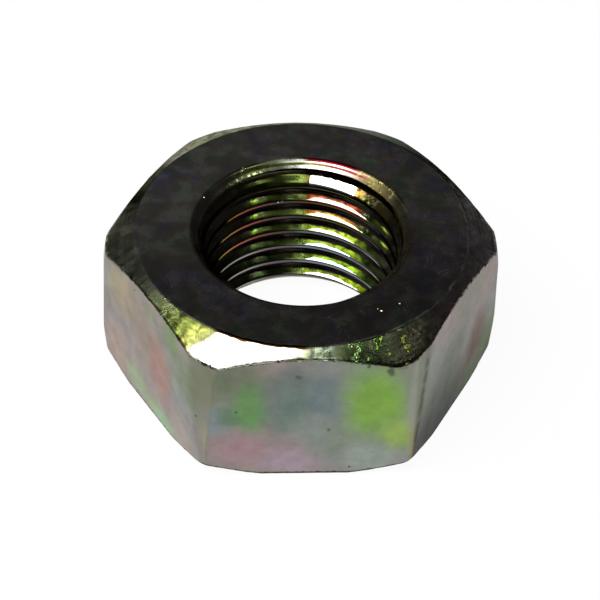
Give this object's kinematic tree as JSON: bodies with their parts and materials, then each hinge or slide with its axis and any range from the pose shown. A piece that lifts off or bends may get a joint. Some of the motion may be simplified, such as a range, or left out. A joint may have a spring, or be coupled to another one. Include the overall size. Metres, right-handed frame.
{
  "type": "hexagon nut",
  "caption": "Plain hexagon nut with crowned corners, both faces chamfered, and a fine right-hand metric thread that runs right through.",
  "frame": {"origin": "centre of the bottom bearing face, on the thread's axis", "axes": "+Z along the thread's axis, from the bottom bearing face to the more deeply chamfered top face; +X through a corner; +Y square to a flat"},
  "size_m": [0.0194, 0.017, 0.008],
  "materials": {
    "plated_steel": "zinc plating with a thin yellow and iridescent passivation, satin on the flats and brighter on the turned chamfers"
  },
  "bodies": {
    "root": {"hex_nut": "plated_steel"}
  },
  "joints": []
}
